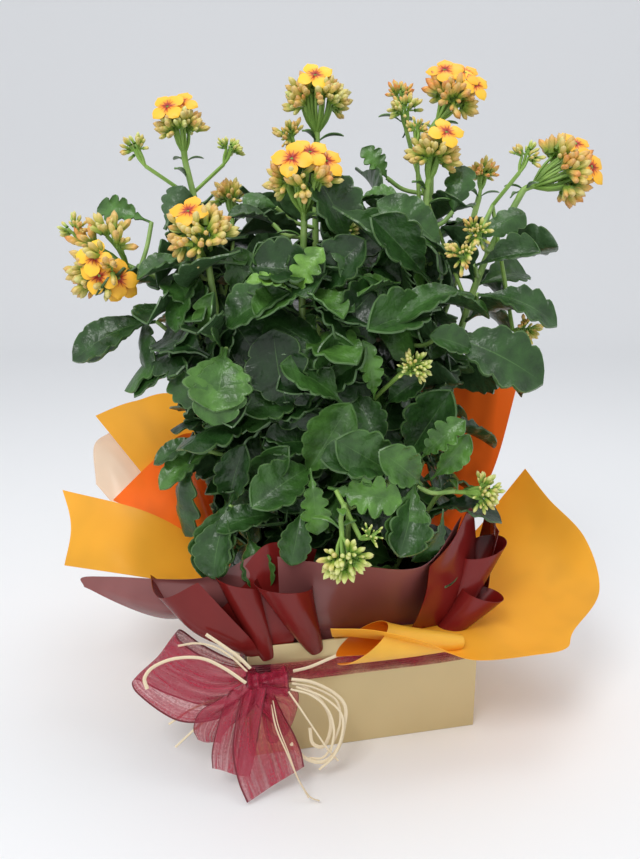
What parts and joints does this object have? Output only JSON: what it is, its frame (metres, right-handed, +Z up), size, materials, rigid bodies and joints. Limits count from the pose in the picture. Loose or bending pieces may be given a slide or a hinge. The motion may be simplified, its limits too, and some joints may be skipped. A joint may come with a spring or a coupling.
{
  "type": "potted kalanchoe",
  "caption": "Flowering kalanchoe in a nursery pot, standing in a low gold gift box wrapped with coloured film, tied with an organza bow and raffia.",
  "frame": {"origin": "centre of the gift box's underside, on the surface it stands on", "axes": "+Z up; the box's front face, with the bow at its left end, faces -Y; +X to the viewer's right"},
  "size_m": [0.3389, 0.2392, 0.3901],
  "materials": {
    "gold_card": "satin gold printed card",
    "pot_plastic": "thin dark brown nursery pot plastic",
    "potting_mix": "damp peat potting mix, matt and crumbly",
    "yellow_film": "glossy translucent yellow wrapping film",
    "orange_film": "glossy translucent orange wrapping film",
    "burgundy_film": "glossy dark burgundy wrapping film",
    "clear_film": "clear wrapping film",
    "organza": "sheer burgundy organza",
    "raffia": "dry natural raffia, matt and fibrous",
    "stem": "smooth fleshy green stem",
    "leaf": "thick waxy dark green leaf with a paler rim",
    "petals": "yellow orange petals with a dark red middle, among peach and green buds",
    "buds": "cream and pale green flower buds"
  },
  "bodies": {
    "root": {"gift_box": "gold_card", "nursery_pot": "pot_plastic", "potting_soil": "potting_mix", "yellow_film_left": "yellow_film", "yellow_film_back_left": "yellow_film", "yellow_film_back": "yellow_film", "yellow_film_right": "yellow_film", "orange_film_back_left": "orange_film", "orange_film_back_right": "orange_film", "burgundy_film_left": "burgundy_film", "burgundy_film_front": "burgundy_film", "burgundy_film_right": "burgundy_film", "clear_film_back_left": "clear_film", "ribbon_band": "organza", "bow_knot": "organza", "bow_loop_left": "organza", "bow_loop_right": "organza", "bow_tail": "organza", "raffia_loop_outer": "raffia", "raffia_loop_inner": "raffia", "raffia_tail": "raffia", "raffia_loop_left": "raffia", "raffia_stub": "raffia", "raffia_strand_left": "raffia", "stem_top_left": "stem", "stem_left": "stem", "stem_mid_left": "stem", "stem_top_centre": "stem", "stem_centre": "stem", "stem_top_right": "stem", "stem_inner_right": "stem", "stem_right": "stem", "stem_rear_right": "stem", "stem_low_right": "stem", "stem_low_front": "stem", "flower_head_top_left": "petals", "flower_head_left": "petals", "flower_head_mid_left": "petals", "flower_head_rear_left": "petals", "flower_head_top_centre": "petals", "flower_head_centre": "petals", "flower_head_top_right": "petals", "flower_head_upper_right": "petals", "flower_head_inner_right": "petals", "flower_head_right": "petals", "bud_head_rear_right": "buds", "bud_head_front": "buds", "bud_head_low_right": "buds", "bud_head_low_front": "buds", "leaf_left": "leaf", "leaf_left_low": "leaf", "leaf_left_spike": "leaf", "leaf_left_drooping": "leaf", "leaf_left_bottom": "leaf", "leaf_left_bright": "leaf", "leaf_right_upper": "leaf", "leaf_right": "leaf", "leaf_right_dark": "leaf", "leaf_front_low": "leaf", "leaf_front_right": "leaf"}
  },
  "joints": []
}
